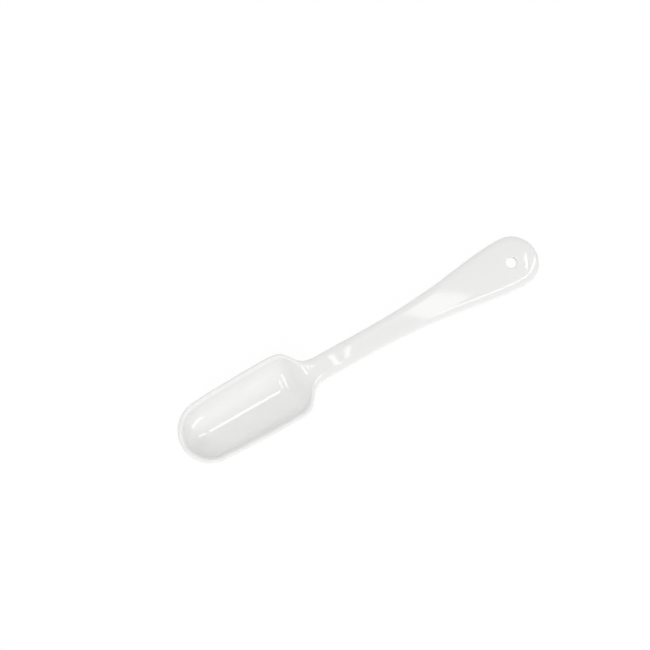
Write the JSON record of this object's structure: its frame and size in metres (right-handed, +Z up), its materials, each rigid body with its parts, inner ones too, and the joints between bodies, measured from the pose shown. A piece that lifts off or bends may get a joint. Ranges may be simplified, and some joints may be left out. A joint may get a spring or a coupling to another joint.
{
  "type": "sugar spoon",
  "caption": "Pressed and enamelled sheet-steel spoon with a long trough bowl, soft shoulders, a narrow neck and a flat handle that widens to a round end with a hanging hole.",
  "frame": {"origin": "under the middle of the spoon, on the surface that it lies on", "axes": "+X along the spoon from the bowl's tip to the handle's end, +Y across it, +Z up out of the bowl"},
  "size_m": [0.135, 0.0232, 0.0084],
  "materials": {
    "enamel": "gloss"
  },
  "bodies": {
    "root": {"spoon": "enamel"}
  },
  "joints": []
}
